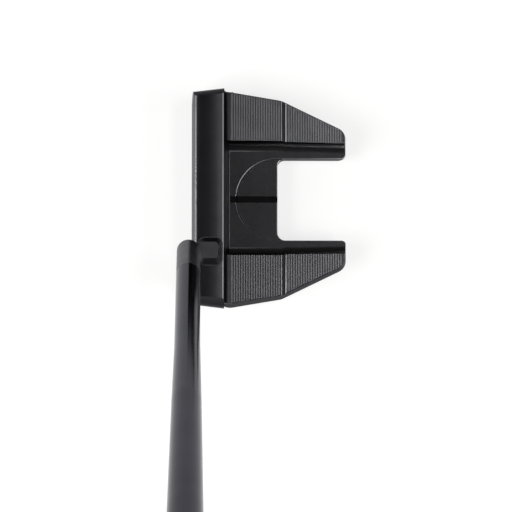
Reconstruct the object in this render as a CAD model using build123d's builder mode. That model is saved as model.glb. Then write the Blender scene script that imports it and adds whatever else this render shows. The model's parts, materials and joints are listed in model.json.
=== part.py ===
from build123d import *
from math import cos, radians, sin, tan
import os

os.makedirs("parts", exist_ok=True)

# Right-handed mallet putter, millimetres. Origin: centre of the sole's flat, on the centre line.
# +X runs from the face to the rear, +Y to the toe, +Z up.

# Face bar
leading_edge_x = -31.0
face_loft = 3.0
bar_top_z = 25.2
bar_crown = 0.45
bevel, bevel_drop = 1.25, 1.0
bevel_step, bevel_rise = 0.35, 0.55
back_edge_x = -16.3
back_edge_chamfer = 0.45
back_foot_x = -13.2
bar_end_x = -15.9
sole_nose = 3.0
toe_top_front, toe_top_rear = 46.2, 47.7
toe_bulge_front, toe_bulge_rear = 49.4, 51.7
toe_bulge_z = 13.5
toe_foot_inset, toe_foot_z = 2.0, 4.0
toe_sole_inset = 4.8

# Wings and floor
belt_z = 6.5
wing_draft = 8.0
sole_draft = 26.0
sole_edge_radius = 1.5
belt_front_x, belt_front_y = -24.0, 44.0
belt_shoulder_x, belt_shoulder_y = -14.6, 50.9
belt_kink_x, belt_kink_y = 10.9, 46.6
belt_rear_x, belt_rear_y = 40.8, 32.1
belt_corner, belt_kink_radius, belt_shoulder_radius = 5.6, 6.0, 6.0
wing_front_z, wing_rear_z = 16.4, 13.4
wing_cove_span = 22.6
wing_foot_fillet = 3.2
floor_z = 8.2
floor_half = 26.7
rear_floor_half_front, rear_floor_half_rear = 26.3, 25.7
floor_cove = 4.4
floor_back_fillet = 0.4
cross_groove_x = 11.7
cross_groove_width, cross_groove_depth = 1.5, 1.1
cross_groove_wall = 80.0
edge_break = 0.3

# Rear notch, sight circle and line
notch_front_x = 9.0
notch_half = 19.15
notch_corner = 3.6
notch_foot = 4.0
notch_ear, notch_ear_reach = 2.0, 0.1
lip, lip_slope = 0.3, 45.0
circle_x = 8.8
circle_groove_width, circle_groove_depth = 0.6, 0.45
line_width, line_depth = 3.0, 0.5
line_inset = 0.05
slip = 0.05
overshoot = 1.0
search_reach = 1.0

# Sole plate, its pad and screws
plate_thickness = 4.7
pad_thickness = 0.3
plate_clearance = 0.1
plate_front_x = -25.5
plate_front_y, plate_mid_y = 41.0, 43.6
plate_mid_x = -12.0
plate_kink_y = 39.6
plate_rear_x, plate_rear_y = 34.0, 28.2
plate_rim = 3.2
plate_corner = 2.5
sole_screw_places = [
    (-20.0, -12.0),
    (-20.0, 12.0),
    (-20.0, -37.5),
    (-20.0, 37.5),
    (23.0, -28.6),
    (23.0, 28.6),
]
sole_screw_shank, sole_screw_head = 1.5, 2.9
sole_screw_length = 10.0
sole_screw_socket, sole_screw_socket_depth = 2.0, 1.3
screw_recess = 0.15
hole_play = 0.1

# Sole weights
weight_x, weight_y = -6.0, 34.8
weight_radius = 6.3
weight_bore_top_z = 12.4
weight_length = 11.0
weight_socket, weight_socket_depth = 5.0, 3.5
weight_lip = 0.5
washer_thickness = 1.0
washer_hole = 3.5

# Neck
neck_x, neck_y = -22.3, -25.95
neck_base_x, neck_base_y = 11.4, 13.2
neck_base_height = 0.5
neck_waist_x, neck_waist_y, neck_waist_z = 9.2, 9.0, 30.0
neck_head_x, neck_head_y, neck_head_z = 8.4, 7.4, 48.5
neck_corner, neck_waist_corner, neck_head_corner = 3.0, 2.2, 1.3
neck_recess = 0.35
neck_peg_radius, neck_peg_depth = 4.0, 8.0
neck_screw_shank, neck_screw_head, neck_screw_head_height = 2.0, 3.5, 4.0
neck_screw_top_z = 28.0
neck_screw_socket = 3.0
neck_lean, neck_drift, neck_step = 0.9, 1.55, 0.6
neck_waist_share = 0.3
arm_height, arm_step = 6.0, 0.15

# Shaft line: where the axis meets the ground, and the lie angle
shaft_x, shaft_y = -32.3, -11.2
lie = 70.0
hosel_bottom, hosel_top = 46.0, 90.0
hosel_radius = 5.33
hosel_end_radius = 2.6
spigot_radius, spigot_length = 4.65, 28.0
spigot_lip = 0.25
bond_gap, bond_play = 0.5, 0.02
shaft_wall = 0.5
shaft_radii = [(90.1, 5.37), (203.0, 5.37), (282.0, 5.91), (412.0, 6.5), (600.0, 7.6), (883.0, 7.6)]

# Grip
club_length = 889.0
grip_start, grip_end = 622.0, 883.5
tape_thickness, tape_margin = 0.2, 3.0
grip_sections = [
    (622.0, 19.6, 19.0, 0.0),
    (628.0, 21.4, 20.6, 0.0),
    (700.0, 23.4, 21.8, 0.2),
    (780.0, 25.6, 23.4, 0.8),
    (830.0, 26.6, 25.6, 2.0),
    (862.0, 28.4, 28.6, 3.4),
    (883.5, 29.6, 30.2, 4.2),
]
grip_corner_share = 0.38
cap_plug_radius, cap_plug_length = 6.7, 12.0
cap_edge_radius = 2.0
cap_vent_radius = 1.5


def shaft_frame(distance):
    """Plane across the shaft, a given distance up its axis from the ground."""
    lean = radians(90 - lie)
    point = (shaft_x, shaft_y - distance * sin(lean), distance * cos(lean))
    return Plane(origin=point, x_dir=(1, 0, 0), z_dir=(0, -sin(lean), cos(lean)))


def toe_and_heel(x, y):
    """The same place at the toe and at the heel."""
    return [(x, y), (x, -y)]


def wing_top_z(x):
    """Height of the sloping wing tops."""
    share = (x - belt_front_x) / (belt_rear_x - belt_front_x)
    return wing_front_z + share * (wing_rear_z - wing_front_z)


def back_wall_x(z):
    """Place of the bar's leaning back wall."""
    share = (bar_top_z - z) / (bar_top_z - floor_z)
    return back_edge_x + share * (back_foot_x - floor_back_fillet - back_edge_x)


pocket_top_z = plate_thickness + pad_thickness
neck_foot_z = bar_top_z + bar_crown + neck_base_height
cove_end_y = floor_half + wing_cove_span
cove_foot_x = back_wall_x(wing_front_z) + wing_foot_fillet
cove_foot = Vector(cove_foot_x, wing_top_z(cove_foot_x))
cove_top = Vector(back_wall_x(cove_foot.Y + wing_foot_fillet), cove_foot.Y + wing_foot_fillet)
line_length = notch_front_x - back_foot_x
line_middle_x = (notch_front_x + back_foot_x) / 2
face_top_z = bar_top_z - bevel_drop
face_top_x = leading_edge_x + (face_top_z - sole_nose) * tan(radians(face_loft))
shaft_line = Axis(shaft_frame(0).origin, shaft_frame(0).z_dir)
shaft_side = Plane(origin=shaft_frame(0).origin, x_dir=(1, 0, 0), z_dir=-shaft_frame(0).y_dir)

# Plan outlines shared by several pieces
with BuildSketch() as belt_outline:
    with BuildLine():
        Polyline(
            (belt_rear_x, 0),
            (belt_rear_x, belt_rear_y),
            (belt_kink_x, belt_kink_y),
            (belt_shoulder_x, belt_shoulder_y),
            (belt_front_x, belt_front_y),
            (belt_front_x, 0),
        )
        mirror(about=Plane.XZ)
    make_face()
    fillet(belt_outline.vertices().group_by(Axis.X)[-1], belt_corner)
    kinks = belt_outline.vertices()
    kinks = kinks.filter_by_position(Axis.X, belt_kink_x - search_reach, belt_kink_x + search_reach)
    fillet(kinks, belt_kink_radius)
    shoulders = belt_outline.vertices().group_by(Axis.Y)
    fillet(shoulders[0] + shoulders[-1], belt_shoulder_radius)

with BuildSketch() as notch_outline:
    with BuildLine():
        ear_end = (belt_rear_x + notch_ear_reach, notch_half + notch_ear)
        ear_start = (belt_rear_x + notch_ear_reach - notch_ear, notch_half)
        Polyline(
            (belt_rear_x + notch_foot, 0),
            (belt_rear_x + notch_foot, notch_half + notch_ear),
            ear_end,
        )
        RadiusArc(ear_end, ear_start, notch_ear)
        Polyline(ear_start, (notch_front_x, notch_half), (notch_front_x, 0))
        mirror(about=Plane.XZ)
    make_face()
    fillet(notch_outline.vertices().group_by(Axis.X)[0], notch_corner)

with BuildSketch() as pocket_outline:
    with BuildLine():
        Polyline(
            (notch_front_x - plate_rim, 0),
            (notch_front_x - plate_rim, notch_half + plate_rim),
            (plate_rear_x, notch_half + plate_rim),
            (plate_rear_x, plate_rear_y),
            (belt_kink_x, plate_kink_y),
            (plate_mid_x, plate_mid_y),
            (plate_front_x, plate_front_y),
            (plate_front_x, 0),
        )
        mirror(about=Plane.XZ)
    make_face()
    fillet(pocket_outline.vertices(), plate_corner)

# Ring cut for the sight circle, with a small lip on both edges
with BuildPart() as sight_ring:
    with BuildSketch(Plane(origin=(circle_x, 0, floor_z), x_dir=(1, 0, 0), z_dir=(0, -1, 0))):
        with BuildLine():
            ring_inside = notch_half - circle_groove_width
            Polyline(
                (ring_inside - lip, lip),
                (ring_inside - lip, 0),
                (ring_inside, -lip),
                (ring_inside, -circle_groove_depth),
                (notch_half, -circle_groove_depth),
                (notch_half, -lip),
                (notch_half + lip, 0),
                (notch_half + lip, lip),
                close=True,
            )
        make_face()
    revolve(axis=Axis((circle_x, 0, floor_z), (0, 0, 1)))

# Face bar: the front and rear end outlines are lofted, then trimmed to the side profile
with BuildPart() as face_bar:
    end_views = [
        (leading_edge_x - overshoot, toe_top_front, toe_bulge_front),
        (back_foot_x, toe_top_rear, toe_bulge_rear),
    ]
    for view_x, top_y, bulge_y in end_views:
        with BuildSketch(Plane.YZ.offset(view_x)):
            with BuildLine():
                arc_top = (top_y, bar_top_z)
                arc_foot = (bulge_y - toe_foot_inset, toe_foot_z)
                Polyline((0, bar_top_z + overshoot), (top_y, bar_top_z + overshoot), arc_top)
                ThreePointArc(arc_top, (bulge_y, toe_bulge_z), arc_foot)
                Polyline(arc_foot, (bulge_y - toe_sole_inset, 0), (0, 0))
                mirror(about=Plane.YZ)
            make_face()
    loft(ruled=True)
    with BuildSketch(Plane.XZ):
        with BuildLine():
            Polyline(
                (leading_edge_x, sole_nose),
                (face_top_x, face_top_z),
                (face_top_x + bevel_step, face_top_z + bevel_rise),
                (face_top_x + bevel, bar_top_z),
            )
            ThreePointArc(
                (face_top_x + bevel, bar_top_z),
                ((face_top_x + back_edge_x) / 2, bar_top_z + bar_crown),
                (back_edge_x - back_edge_chamfer, bar_top_z),
            )
            Polyline(
                (back_edge_x - back_edge_chamfer, bar_top_z),
                (back_edge_x, bar_top_z - back_edge_chamfer),
                (back_foot_x - floor_back_fillet, floor_z + floor_back_fillet),
            )
            RadiusArc(
                (back_foot_x - floor_back_fillet, floor_z + floor_back_fillet),
                (back_foot_x, floor_z),
                -floor_back_fillet,
            )
            Polyline((back_foot_x, floor_z), (back_foot_x, 0), (leading_edge_x + sole_nose, 0))
            RadiusArc((leading_edge_x + sole_nose, 0), (leading_edge_x, sole_nose), sole_nose)
        make_face()
    extrude(amount=toe_bulge_rear + overshoot, both=True, mode=Mode.INTERSECT)
    # The bulging ends stop in front of the wings
    for side in (-1, 1):
        with BuildSketch():
            with Locations((bar_end_x, side * (toe_bulge_rear + cove_end_y) / 2)):
                Rectangle(
                    back_foot_x - bar_end_x,
                    toe_bulge_rear - cove_end_y,
                    align=(Align.MIN, Align.CENTER),
                )
        extrude(amount=bar_top_z, mode=Mode.SUBTRACT)

# Head body: bar, wings and floor milled from one block
with BuildPart() as head_body:
    for rise, draft in ((wing_front_z + overshoot - belt_z, wing_draft), (-belt_z, sole_draft)):
        with BuildSketch(Plane.XY.offset(belt_z)):
            add(belt_outline.sketch)
        extrude(amount=rise, taper=draft)
    with BuildSketch(Plane.XZ):
        with BuildLine():
            Polyline(
                (belt_front_x - overshoot, wing_front_z + 2 * overshoot),
                (belt_front_x - overshoot, wing_top_z(belt_front_x - overshoot)),
                (belt_rear_x + overshoot, wing_top_z(belt_rear_x + overshoot)),
                (belt_rear_x + overshoot, wing_front_z + 2 * overshoot),
                close=True,
            )
        make_face()
    extrude(amount=belt_shoulder_y + overshoot, both=True, mode=Mode.SUBTRACT)
    wing_rims = head_body.faces().sort_by(Axis.Z)[-1].edges()
    wing_rims = wing_rims.filter_by_position(Axis.X, belt_shoulder_x, belt_rear_x)
    chamfer(wing_rims, edge_break)
    floor_cuts = [
        (belt_front_x + overshoot, cross_groove_x, floor_half, floor_half),
        (cross_groove_x - slip, belt_rear_x + overshoot, rear_floor_half_front, rear_floor_half_rear),
    ]
    for start_x, end_x, start_half, end_half in floor_cuts:
        for cut_x, cut_half in ((start_x, start_half), (end_x, end_half)):
            with BuildSketch(Plane.YZ.offset(cut_x)) as floor_section:
                with Locations((0, floor_z + wing_front_z / 2)):
                    Rectangle(2 * cut_half, wing_front_z)
                fillet(floor_section.vertices().group_by(Axis.Z)[0], floor_cove)
        loft(ruled=True, mode=Mode.SUBTRACT)
    add(face_bar.part)
    for side in (-1, 1):
        with BuildSketch(Plane.XZ.offset(side * floor_half)):
            with BuildLine():
                RadiusArc(cove_top, cove_foot, -wing_foot_fillet)
                Polyline(
                    cove_foot,
                    cove_foot - Vector(0, overshoot),
                    cove_top - Vector(overshoot, wing_foot_fillet + overshoot),
                    cove_top,
                )
            make_face()
        extrude(amount=side * wing_cove_span)

    sole_edges = head_body.faces().sort_by(Axis.Z)[0].edges()
    fillet(sole_edges, sole_edge_radius)

    # Grooves across the wings
    with BuildSketch(Plane.XZ):
        with Locations((cross_groove_x, wing_top_z(cross_groove_x))):
            Trapezoid(
                cross_groove_width + 2 * edge_break,
                2 * cross_groove_depth,
                left_side_angle=cross_groove_wall,
                right_side_angle=cross_groove_wall,
                rotation=180,
            )
    extrude(amount=belt_shoulder_y + overshoot, both=True, mode=Mode.SUBTRACT)
    groove_lips = head_body.edges().filter_by(Axis.Y)
    groove_lips = groove_lips.filter_by_position(
        Axis.Z, wing_rear_z + search_reach, wing_front_z - search_reach
    )
    groove_lips = groove_lips.filter_by_position(
        Axis.X, cross_groove_x - cross_groove_width, cross_groove_x + cross_groove_width
    )
    chamfer(groove_lips, edge_break)

    # Rear notch, circle groove and line channel
    with BuildSketch():
        add(notch_outline.sketch)
    extrude(amount=wing_front_z, mode=Mode.SUBTRACT)
    with BuildSketch(Plane.XY.offset(floor_z - lip)):
        add(notch_outline.sketch)
    extrude(amount=2 * lip, taper=-lip_slope, mode=Mode.SUBTRACT)
    add(sight_ring.part, mode=Mode.SUBTRACT)
    with BuildSketch(Plane.XY.offset(floor_z)):
        with Locations((line_middle_x, 0)):
            Rectangle(line_length, line_width)
    extrude(amount=-line_depth, mode=Mode.SUBTRACT)

    # Underside pocket with its screw holes, weight bores and the neck's seat
    with BuildSketch():
        add(pocket_outline.sketch)
    extrude(amount=pocket_top_z, mode=Mode.SUBTRACT)
    with BuildSketch(Plane.XY.offset(pocket_top_z)):
        with Locations(*sole_screw_places):
            Circle(sole_screw_shank + hole_play)
    extrude(amount=sole_screw_length + overshoot - pocket_top_z, mode=Mode.SUBTRACT)
    with BuildSketch(Plane.XY.offset(pocket_top_z)):
        with Locations(*toe_and_heel(weight_x, weight_y)):
            Circle(weight_radius + hole_play)
    extrude(amount=weight_bore_top_z - pocket_top_z, mode=Mode.SUBTRACT)
    with BuildSketch(Plane.XY.offset(pocket_top_z)):
        with Locations((neck_x, neck_y)):
            Circle(neck_screw_head + hole_play)
    extrude(amount=neck_screw_head_height, mode=Mode.SUBTRACT)
    with BuildSketch(Plane.XY.offset(pocket_top_z)):
        with Locations((neck_x, neck_y)):
            Circle(neck_screw_shank + hole_play)
    extrude(amount=bar_top_z - pocket_top_z, mode=Mode.SUBTRACT)
    with BuildSketch(Plane.XY.offset(bar_top_z - neck_peg_depth)):
        with Locations((neck_x, neck_y)):
            Circle(neck_peg_radius + slip)
    extrude(amount=neck_peg_depth + overshoot, mode=Mode.SUBTRACT)
    with BuildSketch(Plane.XY.offset(bar_top_z - neck_recess)):
        with Locations((neck_x, neck_y)):
            RectangleRounded(neck_base_x + 2 * slip, neck_base_y + 2 * slip, neck_corner)
    extrude(amount=neck_recess + overshoot, mode=Mode.SUBTRACT)
head_body.part.label = "head_body"
export_step(head_body.part, "parts/head_body.step")

# Sole plate, let into the underside
with BuildPart() as sole_plate:
    with BuildSketch():
        add(pocket_outline.sketch)
        offset(amount=-plate_clearance, mode=Mode.REPLACE)
        with Locations(*toe_and_heel(weight_x, weight_y)):
            Circle(weight_radius + hole_play, mode=Mode.SUBTRACT)
        with Locations(*sole_screw_places):
            Circle(sole_screw_shank + hole_play, mode=Mode.SUBTRACT)
    extrude(amount=plate_thickness)
    with Locations(*sole_screw_places):
        Cone(
            bottom_radius=sole_screw_head + 2 * hole_play,
            top_radius=sole_screw_shank + hole_play,
            height=sole_screw_head - sole_screw_shank + hole_play,
            align=(Align.CENTER, Align.CENTER, Align.MIN),
            mode=Mode.SUBTRACT,
        )
sole_plate.part.label = "sole_plate"
export_step(sole_plate.part, "parts/sole_plate.step")

# Soft pad between the sole plate and the body
with BuildPart() as damping_pad:
    with BuildSketch(Plane.XY.offset(plate_thickness)):
        add(pocket_outline.sketch)
        offset(amount=-plate_clearance, mode=Mode.REPLACE)
        with Locations(*toe_and_heel(weight_x, weight_y)):
            Circle(weight_radius + 2 * hole_play, mode=Mode.SUBTRACT)
        with Locations(*sole_screw_places):
            Circle(sole_screw_shank + 2 * hole_play, mode=Mode.SUBTRACT)
    extrude(amount=pad_thickness)
damping_pad.part.label = "damping_pad"
export_step(damping_pad.part, "parts/damping_pad.step")

# Flat-head screws that hold the sole plate
with BuildPart() as sole_screws:
    with BuildSketch(Plane.XY.offset(screw_recess)):
        with Locations(*sole_screw_places):
            Circle(sole_screw_shank)
    extrude(amount=sole_screw_length)
    with Locations(*[(x, y, screw_recess) for x, y in sole_screw_places]):
        Cone(
            bottom_radius=sole_screw_head,
            top_radius=sole_screw_shank,
            height=sole_screw_head - sole_screw_shank,
            align=(Align.CENTER, Align.CENTER, Align.MIN),
        )
    with BuildSketch(Plane.XY.offset(screw_recess)):
        with Locations(*sole_screw_places):
            RegularPolygon(radius=sole_screw_socket / 2, side_count=6, major_radius=False)
    extrude(amount=sole_screw_socket_depth, mode=Mode.SUBTRACT)
sole_screws.part.label = "sole_screws"
export_step(sole_screws.part, "parts/sole_screws.step")

# Threaded weights with hex sockets, and the washer above each one
for name, side in (("toe", 1), ("heel", -1)):
    with BuildPart() as weight:
        with BuildSketch(Plane.XY.offset(screw_recess)):
            with Locations((weight_x, side * weight_y)):
                Circle(weight_radius)
        extrude(amount=weight_length)
        chamfer(weight.edges(), weight_lip)
        with BuildSketch(Plane.XY.offset(screw_recess)):
            with Locations((weight_x, side * weight_y)):
                RegularPolygon(radius=weight_socket / 2, side_count=6, major_radius=False)
        extrude(amount=weight_socket_depth, mode=Mode.SUBTRACT)
    weight.part.label = name + "_weight"
    export_step(weight.part, "parts/" + name + "_weight.step")

    with BuildPart() as washer:
        with BuildSketch(Plane.XY.offset(screw_recess + weight_length)):
            with Locations((weight_x, side * weight_y)):
                Circle(weight_radius - weight_lip)
                Circle(washer_hole, mode=Mode.SUBTRACT)
        extrude(amount=washer_thickness)
    washer.part.label = name + "_weight_washer"
    export_step(washer.part, "parts/" + name + "_weight_washer.step")

# Sight line, filled flush into its channel
with BuildPart() as alignment_line:
    with BuildSketch(Plane.XY.offset(floor_z - line_depth)):
        with Locations((line_middle_x, 0)):
            Rectangle(line_length - 2 * slip, line_width - 2 * slip)
    extrude(amount=line_depth - line_inset)
    add(sight_ring.part, mode=Mode.SUBTRACT)
alignment_line.part.label = "alignment_line"
export_step(alignment_line.part, "parts/alignment_line.step")

# Neck: waisted post on the bar, short arm forward, hosel along the shaft line, spigot
with BuildPart() as neck:
    with BuildSketch(Plane.XY.offset(bar_top_z - neck_recess)):
        with Locations((neck_x, neck_y)):
            RectangleRounded(neck_base_x, neck_base_y, neck_corner)
    extrude(amount=neck_foot_z - bar_top_z + neck_recess)
    post_sections = [
        (neck_foot_z, 0, neck_base_x - neck_step, neck_base_y - neck_step, neck_corner),
        (neck_waist_z, neck_waist_share, neck_waist_x, neck_waist_y, neck_waist_corner),
        (neck_head_z, 1, neck_head_x, neck_head_y, neck_head_corner),
    ]
    for height, share, size_x, size_y, corner in post_sections:
        with BuildSketch(Plane.XY.offset(height)):
            with Locations((neck_x - share * neck_lean, neck_y - share * neck_drift)):
                RectangleRounded(size_x, size_y, corner)
    loft()
    arm_z = neck_head_z - arm_step - arm_height / 2
    with BuildSketch(Plane((shaft_x, neck_y - neck_drift, arm_z), x_dir=(0, 1, 0), z_dir=(1, 0, 0))):
        RectangleRounded(neck_head_y - 2 * arm_step, arm_height, neck_head_corner)
    extrude(amount=neck_x - neck_lean - shaft_x)
    with BuildSketch(shaft_side):
        with BuildLine():
            hosel_flat = (hosel_radius - hosel_end_radius, hosel_bottom)
            hosel_side = (hosel_radius, hosel_bottom + hosel_end_radius)
            RadiusArc(hosel_flat, hosel_side, -hosel_end_radius)
            Polyline(
                hosel_side,
                (hosel_radius, hosel_top - spigot_lip),
                (hosel_radius - spigot_lip, hosel_top),
                (spigot_radius, hosel_top),
                (spigot_radius, hosel_top + spigot_length - spigot_lip),
                (spigot_radius - spigot_lip, hosel_top + spigot_length),
                (0, hosel_top + spigot_length),
                (0, hosel_bottom),
                hosel_flat,
            )
        make_face()
    revolve(axis=shaft_line)
    with BuildSketch(Plane.XY.offset(bar_top_z - neck_recess)):
        with Locations((neck_x, neck_y)):
            Circle(neck_peg_radius)
    extrude(amount=-(neck_peg_depth - neck_recess))
    with BuildSketch(Plane.XY.offset(bar_top_z - neck_peg_depth)):
        with Locations((neck_x, neck_y)):
            Circle(neck_screw_shank + slip)
    extrude(amount=neck_screw_top_z + overshoot - bar_top_z + neck_peg_depth, mode=Mode.SUBTRACT)
neck.part.label = "neck"
export_step(neck.part, "parts/neck.step")

# Cap screw that draws the neck down, under the sole plate
with BuildPart() as neck_screw:
    with BuildSketch(Plane.XY.offset(pocket_top_z + slip)):
        with Locations((neck_x, neck_y)):
            Circle(neck_screw_head)
    extrude(amount=neck_screw_head_height - slip)
    with BuildSketch(Plane.XY.offset(pocket_top_z + neck_screw_head_height)):
        with Locations((neck_x, neck_y)):
            Circle(neck_screw_shank)
    extrude(amount=neck_screw_top_z - pocket_top_z - neck_screw_head_height)
    with BuildSketch(Plane.XY.offset(pocket_top_z + slip)):
        with Locations((neck_x, neck_y)):
            RegularPolygon(radius=neck_screw_socket / 2, side_count=6, major_radius=False)
    extrude(amount=neck_screw_head_height / 2, mode=Mode.SUBTRACT)
neck_screw.part.label = "neck_screw"
export_step(neck_screw.part, "parts/neck_screw.step")

# Cured adhesive between the spigot and the shaft
with BuildPart() as shaft_bond:
    with BuildSketch(shaft_frame(hosel_top + bond_gap)):
        Circle(shaft_radii[0][1] - shaft_wall - bond_play)
        Circle(spigot_radius + bond_play, mode=Mode.SUBTRACT)
    extrude(amount=spigot_length - 2 * bond_gap)
shaft_bond.part.label = "shaft_bond"
export_step(shaft_bond.part, "parts/shaft_bond.step")

# Shaft: thin steel tube, parallel above the hosel, then flaring to a parallel butt
with BuildPart() as shaft:
    with BuildSketch(shaft_side):
        with BuildLine():
            outside = [(radius, distance) for distance, radius in shaft_radii]
            inside = [(radius - shaft_wall, distance) for distance, radius in reversed(shaft_radii)]
            Polyline(*outside, *inside, close=True)
        make_face()
    revolve(axis=shaft_line)
shaft.part.label = "shaft"
export_step(shaft.part, "parts/shaft.step")

# Double-sided tape under the grip
butt_radius = shaft_radii[-1][1]
with BuildPart() as grip_tape:
    with BuildSketch(shaft_frame(grip_start + tape_margin)):
        Circle(butt_radius + tape_thickness)
        Circle(butt_radius + bond_play, mode=Mode.SUBTRACT)
    extrude(amount=grip_end - grip_start - 2 * tape_margin)
grip_tape.part.label = "grip_tape"
export_step(grip_tape.part, "parts/grip_tape.step")

# Grip: flat front, back swelling into a pistol butt
with BuildPart() as grip:
    for distance, width, depth, drop in grip_sections:
        with BuildSketch(shaft_frame(distance)):
            with Locations((0, -drop)):
                RectangleRounded(width, depth, grip_corner_share * depth)
    loft()
    with BuildSketch(shaft_frame(grip_start - overshoot)):
        Circle(butt_radius + tape_thickness + bond_play)
    extrude(amount=grip_end - grip_start + 2 * overshoot, mode=Mode.SUBTRACT)
grip.part.label = "grip"
export_step(grip.part, "parts/grip.step")

# End cap with its vent hole and the plug that enters the shaft
with BuildPart() as grip_cap:
    end_width, end_depth, end_drop = grip_sections[-1][1:]
    with BuildSketch(shaft_frame(grip_end)):
        with Locations((0, -end_drop)):
            RectangleRounded(end_width, end_depth, grip_corner_share * end_depth)
    extrude(amount=club_length - grip_end)
    fillet(grip_cap.faces().sort_by(shaft_line)[-1].edges(), cap_edge_radius)
    with BuildSketch(shaft_frame(grip_end - cap_plug_length)):
        Circle(cap_plug_radius)
    extrude(amount=cap_plug_length)
    with BuildSketch(shaft_frame(grip_end - cap_plug_length)):
        Circle(cap_vent_radius)
    extrude(amount=cap_plug_length + club_length, mode=Mode.SUBTRACT)
grip_cap.part.label = "grip_cap"
export_step(grip_cap.part, "parts/grip_cap.step")
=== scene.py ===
import bpy
import json
from math import radians
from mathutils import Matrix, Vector

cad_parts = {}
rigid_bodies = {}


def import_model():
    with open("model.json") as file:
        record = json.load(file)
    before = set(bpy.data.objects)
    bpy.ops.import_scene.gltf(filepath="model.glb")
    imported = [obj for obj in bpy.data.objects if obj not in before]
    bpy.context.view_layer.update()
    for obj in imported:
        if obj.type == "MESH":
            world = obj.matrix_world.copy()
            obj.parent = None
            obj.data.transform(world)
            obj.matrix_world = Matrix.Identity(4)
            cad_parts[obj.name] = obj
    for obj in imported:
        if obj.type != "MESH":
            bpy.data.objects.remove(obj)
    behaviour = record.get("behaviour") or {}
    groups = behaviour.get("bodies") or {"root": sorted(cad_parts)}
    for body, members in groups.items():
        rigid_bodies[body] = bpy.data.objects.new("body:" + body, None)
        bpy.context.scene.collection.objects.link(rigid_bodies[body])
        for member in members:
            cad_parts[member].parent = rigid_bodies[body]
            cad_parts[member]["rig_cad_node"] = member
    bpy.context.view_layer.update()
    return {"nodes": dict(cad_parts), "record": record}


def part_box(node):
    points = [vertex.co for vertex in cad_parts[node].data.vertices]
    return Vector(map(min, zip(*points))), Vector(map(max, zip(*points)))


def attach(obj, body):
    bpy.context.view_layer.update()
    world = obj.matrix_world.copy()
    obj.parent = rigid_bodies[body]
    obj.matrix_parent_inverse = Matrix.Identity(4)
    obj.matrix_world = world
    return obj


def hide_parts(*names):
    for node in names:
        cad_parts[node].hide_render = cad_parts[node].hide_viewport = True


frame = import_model()
nodes = frame["nodes"]
mm = 0.001
waveRepeat = 0.31416  # length in metres of one band of the wave texture at scale 1
print("frame loaded:", len(nodes), "CAD nodes")


def linear(hexColour):
    parts = [int(hexColour[i:i + 2], 16) / 255 for i in (1, 3, 5)]
    return [p / 12.92 if p <= 0.04045 else ((p + 0.055) / 1.055) ** 2.4 for p in parts] + [1.0]


def addNode(tree, kind, settings=None, links=None):
    node = tree.nodes.new(kind)
    for key, value in (settings or {}).items():
        if isinstance(key, int) or key in node.inputs:
            node.inputs[key].default_value = value
        else:
            setattr(node, key, value)
    for key, source in (links or {}).items():
        tree.links.new(source, node.inputs[key])
    return node


def startMaterial(name):
    material = bpy.data.materials.new(name)
    material.use_nodes = True
    tree = material.node_tree
    place = addNode(tree, "ShaderNodeTexCoord").outputs["Object"]
    return material, tree, tree.nodes["Principled BSDF"], place


def surface(name, look):
    # patches shift the colour, fine grain shifts roughness and height, lines are cutter marks
    material, tree, shader, place = startMaterial(name)
    patches = addNode(
        tree, "ShaderNodeTexNoise",
        {"Scale": 1 / (look["patch"] * mm), "Detail": 3.0, "Roughness": 0.55}, {"Vector": place})
    spread = addNode(
        tree, "ShaderNodeMapRange", {"From Min": 0.3, "From Max": 0.7}, {"Value": patches.outputs["Fac"]})
    colour = addNode(
        tree, "ShaderNodeMix",
        {"data_type": "RGBA", 6: linear(look["dark"]), 7: linear(look["light"])}, {0: spread.outputs[0]})
    tree.links.new(colour.outputs[2], shader.inputs["Base Color"])
    grain = addNode(
        tree, "ShaderNodeTexNoise", {"Scale": 1 / (look["grain"] * mm), "Detail": 2.0}, {"Vector": place})
    roughLow, roughHigh = look["rough"]
    rough = addNode(
        tree, "ShaderNodeMapRange",
        {"From Min": 0.25, "From Max": 0.75, "To Min": roughLow, "To Max": roughHigh},
        {"Value": grain.outputs["Fac"]})
    tree.links.new(rough.outputs[0], shader.inputs["Roughness"])
    height = addNode(
        tree, "ShaderNodeBump",
        {"Strength": 1.0, "Distance": look["grainHeight"] * mm}, {"Height": grain.outputs["Fac"]})
    if "lines" in look:
        line = look["lines"]
        marks = addNode(
            tree, "ShaderNodeTexWave",
            {"wave_type": line["kind"], line["kind"].lower() + "_direction": line["along"],
             "Scale": waveRepeat / (line["pitch"] * mm), "Detail": 1.0, "Detail Scale": 0.4},
            {"Vector": place})
        height = addNode(
            tree, "ShaderNodeBump", {"Strength": 1.0, "Distance": line["height"] * mm},
            {"Height": marks.outputs["Fac"], "Normal": height.outputs["Normal"]})
    tree.links.new(height.outputs["Normal"], shader.inputs["Normal"])
    shader.inputs["Metallic"].default_value = look["metallic"]
    for socket, value in look.get("shader", {}).items():
        shader.inputs[socket].default_value = value
    return material


def selectOnly(piece):
    if bpy.context.mode != "OBJECT":
        bpy.ops.object.mode_set(mode="OBJECT")
    bpy.ops.object.select_all(action="DESELECT")
    piece.select_set(True)
    bpy.context.view_layer.objects.active = piece


def editMode(piece):
    selectOnly(piece)
    bpy.ops.object.mode_set(mode="EDIT")


def pickFaces(piece, wanted):
    editMode(piece)
    bpy.ops.mesh.select_mode(type="FACE")
    bpy.ops.mesh.select_all(action="DESELECT")
    bpy.ops.object.mode_set(mode="OBJECT")
    for face in piece.data.polygons:
        face.select = wanted(face)
    bpy.ops.object.mode_set(mode="EDIT")


def pickPoints(piece, wanted):
    editMode(piece)
    bpy.ops.mesh.select_mode(type="VERT")
    bpy.ops.mesh.select_all(action="DESELECT")
    bpy.ops.object.mode_set(mode="OBJECT")
    for point in piece.data.vertices:
        point.select = wanted(point)
    bpy.ops.object.mode_set(mode="EDIT")


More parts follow.
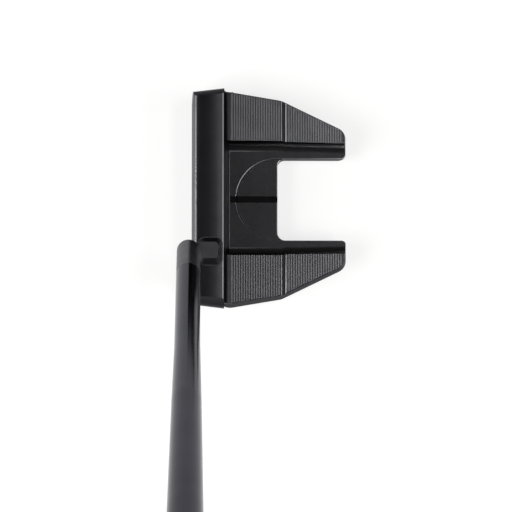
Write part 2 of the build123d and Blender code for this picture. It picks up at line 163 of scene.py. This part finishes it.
def mergedCopy(nodeName, pieceName):
    selectOnly(nodes[nodeName])
    bpy.ops.object.duplicate()
    piece = bpy.context.object
    piece.name = piece.data.name = pieceName
    del piece["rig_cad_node"]
    piece.data.materials.clear()
    editMode(piece)
    bpy.ops.mesh.select_all(action="SELECT")
    bpy.ops.mesh.customdata_custom_splitnormals_clear()
    bpy.ops.mesh.remove_doubles(threshold=0.001 * mm)
    bpy.ops.object.mode_set(mode="OBJECT")
    return piece


def finishPiece(piece, nodeName, smoothAngle, isFacet=None):
    selectOnly(piece)
    bpy.ops.object.shade_smooth_by_angle(angle=radians(smoothAngle))
    if isFacet:
        pickFaces(piece, isFacet)
        bpy.ops.mesh.faces_shade_flat()
        bpy.ops.object.mode_set(mode="OBJECT")
    bpy.ops.object.modifier_add(type="WEIGHTED_NORMAL")  # keeps flats flat beside small radii
    piece.modifiers[-1].keep_sharp = True
    bpy.ops.object.modifier_apply(modifier=piece.modifiers[-1].name)
    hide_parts(nodeName)
    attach(piece, "root")


# Head body: one milled block with several finishes; the lighter wing, floor and face colours are painted
# sheen and the edge colour is painted highlight
headLook = {
    "linePitch": 1.15,  # cutter step across the wing tops
    "lineDepth": 0.035,
    "lineSunk": 0.05,  # the sight line sits this far under the floor
    "wingRise": 4.0,  # the wing tops lie between this above the floor and wingLimit
    "wingLimit": 17.5,
    "grooveAt": 11.7,
    "grooveHalf": 1.2,
    "grooveDeep": 1.0,
    "bevelFrom": 24.1,  # only the bar's top and its long edges are higher
    "lipFrom": 1.0,
    "lipTop": 0.01,
    "lipFoot": 0.4,
    "pocketFrom": 5.2,
    "pocketHalf": 27.0,
    "pocketFoot": 1.3,
    "smoothAngle": 20,
}
# shares of a face's normal that tell one kind of face from another
tilts = {
    "level": 0.99,
    "deadLevel": 0.99999,
    "wingFall": 0.045,  # the wing tops fall to the rear
    "wingPlay": 0.015,
    "strikeFace": 0.98,
    "frontBevel": 0.4,
    "rearBevel": 0.3,
    "grooveLip": 0.5,
    "edgeSteep": 0.2,
    "edgeShallow": 0.95,
}
headLow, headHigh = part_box("head_body")
lineLow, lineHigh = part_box("alignment_line")
floorTop = lineHigh.z + headLook["lineSunk"] * mm
barBack = lineLow.x
wingLow = floorTop + headLook["wingRise"] * mm
wingHigh = headLow.z + headLook["wingLimit"] * mm
bevelLow = headLook["bevelFrom"] * mm

# The real grain of these metals is near 0.1 mm. It is drawn several times coarser, to hold at arm's length.
# bead-blasted, black anodised aluminium: soft satin, faint cloudiness
barFinish = surface("blastedBlackAnodisedAluminium", {
    "dark": "#2c2c2e", "light": "#333335", "patch": 16.0, "grain": 0.5, "grainHeight": 0.006,
    "rough": (0.32, 0.40), "metallic": 1.0, "shader": {"Specular Tint": (0.45, 0.45, 0.46, 1.0)}})
# end-milled then anodised, the same anodising as the bar: the lighter grey base colour is painted sheen for
# the light the cutter steps spread across them
wingFinishPaintedSheen = surface("milledBlackAnodisedAluminiumPaintedSheen", {
    "dark": "#464648", "light": "#4c4c4e", "patch": 9.0, "grain": 0.6, "grainHeight": 0.001,
    "rough": (0.30, 0.38), "metallic": 1.0, "shader": {"Specular Tint": (0.45, 0.45, 0.46, 1.0)},
    "lines": {"kind": "BANDS", "along": "X", "pitch": 0.29, "height": 0.002}})
# fine-milled and anodised: the smooth pocket floor, nearly glossy; its base colour is raised to a lighter
# grey as painted light, for how bright it reads under the lamps
floorPaintedLightFinish = surface("fineMilledBlackAnodisedAluminiumPaintedLight", {
    "dark": "#444446", "light": "#4a4a4c", "patch": 12.0, "grain": 1.6, "grainHeight": 0.0003,
    "rough": (0.27, 0.31), "metallic": 1.0, "shader": {"Specular Tint": (0.35, 0.35, 0.36, 1.0)}})
# strike face and front bevel: fly-cut, fine arcs; the base colour is lighter than the blasted top as painted
# sheen, over the same anodising
facePaintedSheenFinish = surface("flyCutBlackAnodisedAluminiumPaintedSheen", {
    "dark": "#5c5c5e", "light": "#646466", "patch": 10.0, "grain": 0.5, "grainHeight": 0.004,
    "rough": (0.30, 0.38), "metallic": 1.0, "shader": {"Specular Tint": (0.4, 0.4, 0.41, 1.0)},
    "lines": {"kind": "RINGS", "along": "X", "pitch": 0.8, "height": 0.02}})

# broken edges: a light grey base colour on the lips is a painted highlight that draws a fine bright line
paintedHighlightEdgeFinish = surface("paintedHighlightEdgeAluminium", {
    "dark": "#8a8a8c", "light": "#96969a", "patch": 6.0, "grain": 0.8, "grainHeight": 0.0,
    "rough": (0.40, 0.46), "metallic": 1.0, "shader": {"Specular Tint": (0.7, 0.7, 0.71, 1.0)}})

head = mergedCopy("head_body", "millHead")
for finish in (barFinish, wingFinishPaintedSheen, floorPaintedLightFinish, facePaintedSheenFinish, paintedHighlightEdgeFinish):
    head.data.materials.append(finish)


def isWingTop(face):
    falls = abs(face.normal.x - tilts["wingFall"]) < tilts["wingPlay"]
    return face.normal.z > tilts["level"] and falls and wingLow < face.center.z < wingHigh


def isCrossGroove(face):
    near = abs(face.center.x - headLook["grooveAt"] * mm) < headLook["grooveHalf"] * mm
    return near and face.center.z > wingLow - headLook["grooveDeep"] * mm and not isWingTop(face)


# faces that take the painted highlight colour: the bar's rear edges, the cross groove's lips and the floor
# lips
def isPaintedHighlightEdge(face):
    drop = floorTop - face.center.z
    barEdge = face.center.z > bevelLow and face.normal.x > tilts["rearBevel"]
    grooveLip = isCrossGroove(face) and abs(face.normal.x) > tilts["grooveLip"]
    floorLip = (headLook["lipTop"] * mm < drop < headLook["lipFoot"] * mm
                and face.center.x > barBack + headLook["lipFrom"] * mm)
    sloping = tilts["edgeSteep"] < face.normal.z < tilts["edgeShallow"]
    return sloping and (barEdge or grooveLip or floorLip)


def isFloor(face):
    behindBar = face.center.x > barBack - headLook["pocketFoot"] * mm
    inPocket = abs(face.center.y) < headLook["pocketHalf"] * mm
    return behindBar and inPocket and headLook["pocketFrom"] * mm < face.center.z < wingHigh


def isFront(face):
    bevel = face.normal.x < -tilts["frontBevel"] and face.center.z > bevelLow
    return face.normal.x < -tilts["strikeFace"] or bevel


def isFlatFloor(face):
    return face.normal.z > tilts["deadLevel"] and abs(face.center.z - floorTop) < headLook["lipTop"] * mm


def isMilled(face):
    return face.material_index == 1


pickFaces(head, isFlatFloor)
bpy.ops.mesh.dissolve_limited(angle_limit=radians(0.05))
# the wing tops are cut at every half step, and every other cut is lowered into a shallow groove
linePitch = headLook["linePitch"] * mm
for step in range(int(2 * (headHigh.x - barBack) / linePitch) + 1):
    pickFaces(head, isWingTop)
    cutPoint = (barBack + step * linePitch / 2, 0, 0)
    bpy.ops.mesh.bisect(plane_co=cutPoint, plane_no=(1, 0, 0), threshold=0.0001 * mm)
bpy.ops.object.mode_set(mode="OBJECT")
for face in head.data.polygons:
    if isWingTop(face):
        face.material_index = 1
    elif isPaintedHighlightEdge(face):
        face.material_index = 4
    elif isFloor(face) or isCrossGroove(face):
        face.material_index = 2
    elif isFront(face):
        face.material_index = 3
milledPoints = {i for face in head.data.polygons if isMilled(face) for i in face.vertices}


def isGroovePoint(point):
    steps = (point.co.x - barBack) / linePitch
    return point.index in milledPoints and abs(steps - round(steps)) * linePitch < 0.001 * mm


pickPoints(head, isGroovePoint)
bpy.ops.transform.translate(value=(0, 0, -headLook["lineDepth"] * mm))
finishPiece(head, "head_body", headLook["smoothAngle"], isMilled)
print("head milled:", len(head.data.polygons), "faces")

# Grip: moulded rubber with shallow ring grooves
gripLook = {
    "firstGroove": -102.0,  # along the shaft from the holding point
    "lastGroove": 90.0,
    "grooveEvery": 12.0,
    "grooveWidth": 1.8,
    "grooveDepth": 0.5,
    "skinRadius": 8.2,  # the bore lies inside this
    "smoothAngle": 25,
}
hold = [m for m in frame["record"]["mounts"] if m["name"] == "grip_hold"][0]
holdPoint, shaftLine = Vector(hold["pos_m"]), Vector(hold["axis"])
grip = mergedCopy("grip", "ringedGrip")


def isGripSkin(face):
    offset = Vector(face.center) - holdPoint
    return (offset - shaftLine * offset.dot(shaftLine)).length > gripLook["skinRadius"] * mm


grooveCount = 0
groovedLength = gripLook["lastGroove"] - gripLook["firstGroove"]
grooveCount = int(groovedLength / gripLook["grooveEvery"]) + 1
for number in range(grooveCount):
    middle = gripLook["firstGroove"] + number * gripLook["grooveEvery"]
    for shift in (-0.5, 0.5, 0.0):
        pickFaces(grip, isGripSkin)
        cutPoint = holdPoint + shaftLine * (middle + shift * gripLook["grooveWidth"]) * mm
        bpy.ops.mesh.bisect(plane_co=cutPoint, plane_no=shaftLine, threshold=0.0001 * mm)
    bpy.ops.transform.shrink_fatten(value=-gripLook["grooveDepth"] * mm)  # the last cut is still selected
# moulded rubber: matte, slightly mottled skin
rubberFinish = surface("mouldedBlackRubber", {
    "dark": "#28282a", "light": "#303031", "patch": 20.0, "grain": 0.8, "grainHeight": 0.03,
    "rough": (0.62, 0.74), "metallic": 0.0, "shader": {"IOR": 1.52}})
grip.data.materials.append(rubberFinish)
finishPiece(grip, "grip", gripLook["smoothAngle"])
print("grip grooved:", grooveCount, "grooves")

# Sight line: glossy black fill
lineFinish = surface("glossBlackEnamelFill", {
    "dark": "#060606", "light": "#0a0a0a", "patch": 5.0, "grain": 1.2, "grainHeight": 0.004,
    "rough": (0.05, 0.10), "metallic": 0.0, "shader": {"IOR": 1.5}})
nodes["alignment_line"].data.materials.clear()
nodes["alignment_line"].data.materials.append(lineFinish)

# Neck: satin black vapour-deposited coat on steel
neckFinish = surface("satinBlackCoatedSteel", {
    "dark": "#545458", "light": "#5e5e62", "patch": 8.0, "grain": 0.8, "grainHeight": 0.0005,
    "rough": (0.30, 0.36), "metallic": 1.0, "shader": {"Specular Tint": (0.6, 0.6, 0.61, 1.0)}})
# Shaft: smoked chrome over steel, polished: soft mirror with a cool grey cast
shaftFinish = surface("smokedChromePlatedSteel", {
    "dark": "#3d3d40", "light": "#444448", "patch": 30.0, "grain": 1.5, "grainHeight": 0.0005,
    "rough": (0.13, 0.18), "metallic": 1.0, "shader": {"Specular Tint": (0.5, 0.5, 0.52, 1.0)}})
# Sole plate: bead-blasted steel, black coated
plateFinish = surface("blastedBlackCoatedSteel", {
    "dark": "#38383a", "light": "#444446", "patch": 14.0, "grain": 0.5, "grainHeight": 0.008,
    "rough": (0.36, 0.46), "metallic": 1.0})
# Weights: stainless bar, turned: bright, even satin
weightFinish = surface("turnedStainlessSteel", {
    "dark": "#b4b3b0", "light": "#c4c3c0", "patch": 6.0, "grain": 0.3, "grainHeight": 0.002,
    "rough": (0.22, 0.30), "metallic": 1.0})
# Screws: dark zinc on machine screws
screwFinish = surface("darkZincPlatedSteel", {
    "dark": "#77777a", "light": "#88888a", "patch": 2.0, "grain": 0.3, "grainHeight": 0.004,
    "rough": (0.26, 0.36), "metallic": 1.0})
padFinish = surface("thinDampingRubber", {
    "dark": "#252525", "light": "#2e2e2e", "patch": 4.0, "grain": 0.6, "grainHeight": 0.01,
    "rough": (0.75, 0.85), "metallic": 0.0})
nylonFinish = surface("naturalNylon", {
    "dark": "#cdc9bd", "light": "#d8d4c9", "patch": 4.0, "grain": 0.8, "grainHeight": 0.004,
    "rough": (0.42, 0.52), "metallic": 0.0, "shader": {"IOR": 1.53}})
bondFinish = surface("curedEpoxy", {
    "dark": "#a89c78", "light": "#b5a988", "patch": 5.0, "grain": 0.9, "grainHeight": 0.006,
    "rough": (0.30, 0.40), "metallic": 0.0, "shader": {"IOR": 1.55}})
tapeFinish = surface("crepePaperTape", {
    "dark": "#c2b792", "light": "#cfc6a4", "patch": 8.0, "grain": 0.9, "grainHeight": 0.03,
    "rough": (0.75, 0.85), "metallic": 0.0})
capFinish = surface("hardMouldedRubber", {
    "dark": "#2b2b2c", "light": "#323233", "patch": 8.0, "grain": 0.8, "grainHeight": 0.01,
    "rough": (0.45, 0.55), "metallic": 0.0, "shader": {"IOR": 1.52}})
carriedOver = {
    "neck": neckFinish, "shaft": shaftFinish, "sole_plate": plateFinish, "toe_weight": weightFinish,
    "heel_weight": weightFinish, "sole_screws": screwFinish, "neck_screw": screwFinish,
    "damping_pad": padFinish, "toe_weight_washer": nylonFinish, "heel_weight_washer": nylonFinish,
    "shaft_bond": bondFinish, "grip_tape": tapeFinish, "grip_cap": capFinish}
for nodeName, finish in carriedOver.items():
    nodes[nodeName].data.materials.clear()
    nodes[nodeName].data.materials.append(finish)
print("finishes set")

# Floor, light and camera
studio = {
    "floorSize": 8.0, "world": 0.08, "aim": Vector((0, 0, 0.1)), "clip": (0.05, 50),
    "cameraPlace": (-0.027509, -0.176425, 1.588557), "cameraTilt": 5.42, "cameraPan": -0.96, "lens": 239.92}
bpy.ops.object.select_all(action="DESELECT")
bpy.ops.mesh.primitive_plane_add(size=studio["floorSize"], location=(0, 0, 0))
floor = bpy.context.object
floor.name = "studioFloor"
# backlit opal acrylic: the light from below keeps it white beside the head
floorPaint = surface("backlitOpalAcrylic", {
    "dark": "#8e8e8d", "light": "#929291", "patch": 300.0, "grain": 2.0, "grainHeight": 0.0,
    "rough": (0.8, 0.9), "metallic": 0.0,
    "shader": {"Emission Color": (1.0, 1.0, 1.0, 1.0), "Emission Strength": 0.72, "Specular IOR Level": 0.0}})
floor.data.materials.append(floorPaint)

world = bpy.data.worlds.new("studioWorld")
bpy.context.scene.world = world
world.use_nodes = True
world.node_tree.nodes["Background"].inputs["Color"].default_value = (1, 1, 1, 1)
world.node_tree.nodes["Background"].inputs["Strength"].default_value = studio["world"]

panels = {  # place, size, watts
    "rightPanel": ((1.6, -0.65, 0.8), (1.6, 1.6), 32),
    "leftPanel": ((-1.6, -0.5, 0.9), (1.6, 1.8), 60),
    "topPanel": ((0.75, 0.19, 1.9), (0.7, 0.3), 10),
    "heelPanel": ((0.0, -1.9, 0.14), (1.6, 0.24), 9),
}
for name, (place, size, watts) in panels.items():
    bpy.ops.object.light_add(type="AREA", location=place)
    panel = bpy.context.object
    panel.name = name
    panel.data.shape = "RECTANGLE"
    panel.data.size, panel.data.size_y = size
    panel.data.energy = watts
    panel.rotation_euler = (studio["aim"] - Vector(place)).to_track_quat("-Z", "Y").to_euler()
    panel.visible_camera = False

bpy.ops.object.camera_add(location=studio["cameraPlace"])
camera = bpy.context.object
camera.rotation_euler = (radians(studio["cameraTilt"]), radians(studio["cameraPan"]), 0)
camera.data.lens = studio["lens"]
camera.data.clip_start, camera.data.clip_end = studio["clip"]
bpy.context.scene.camera = camera
bpy.context.scene.view_settings.view_transform = "Standard"
print("studio set")
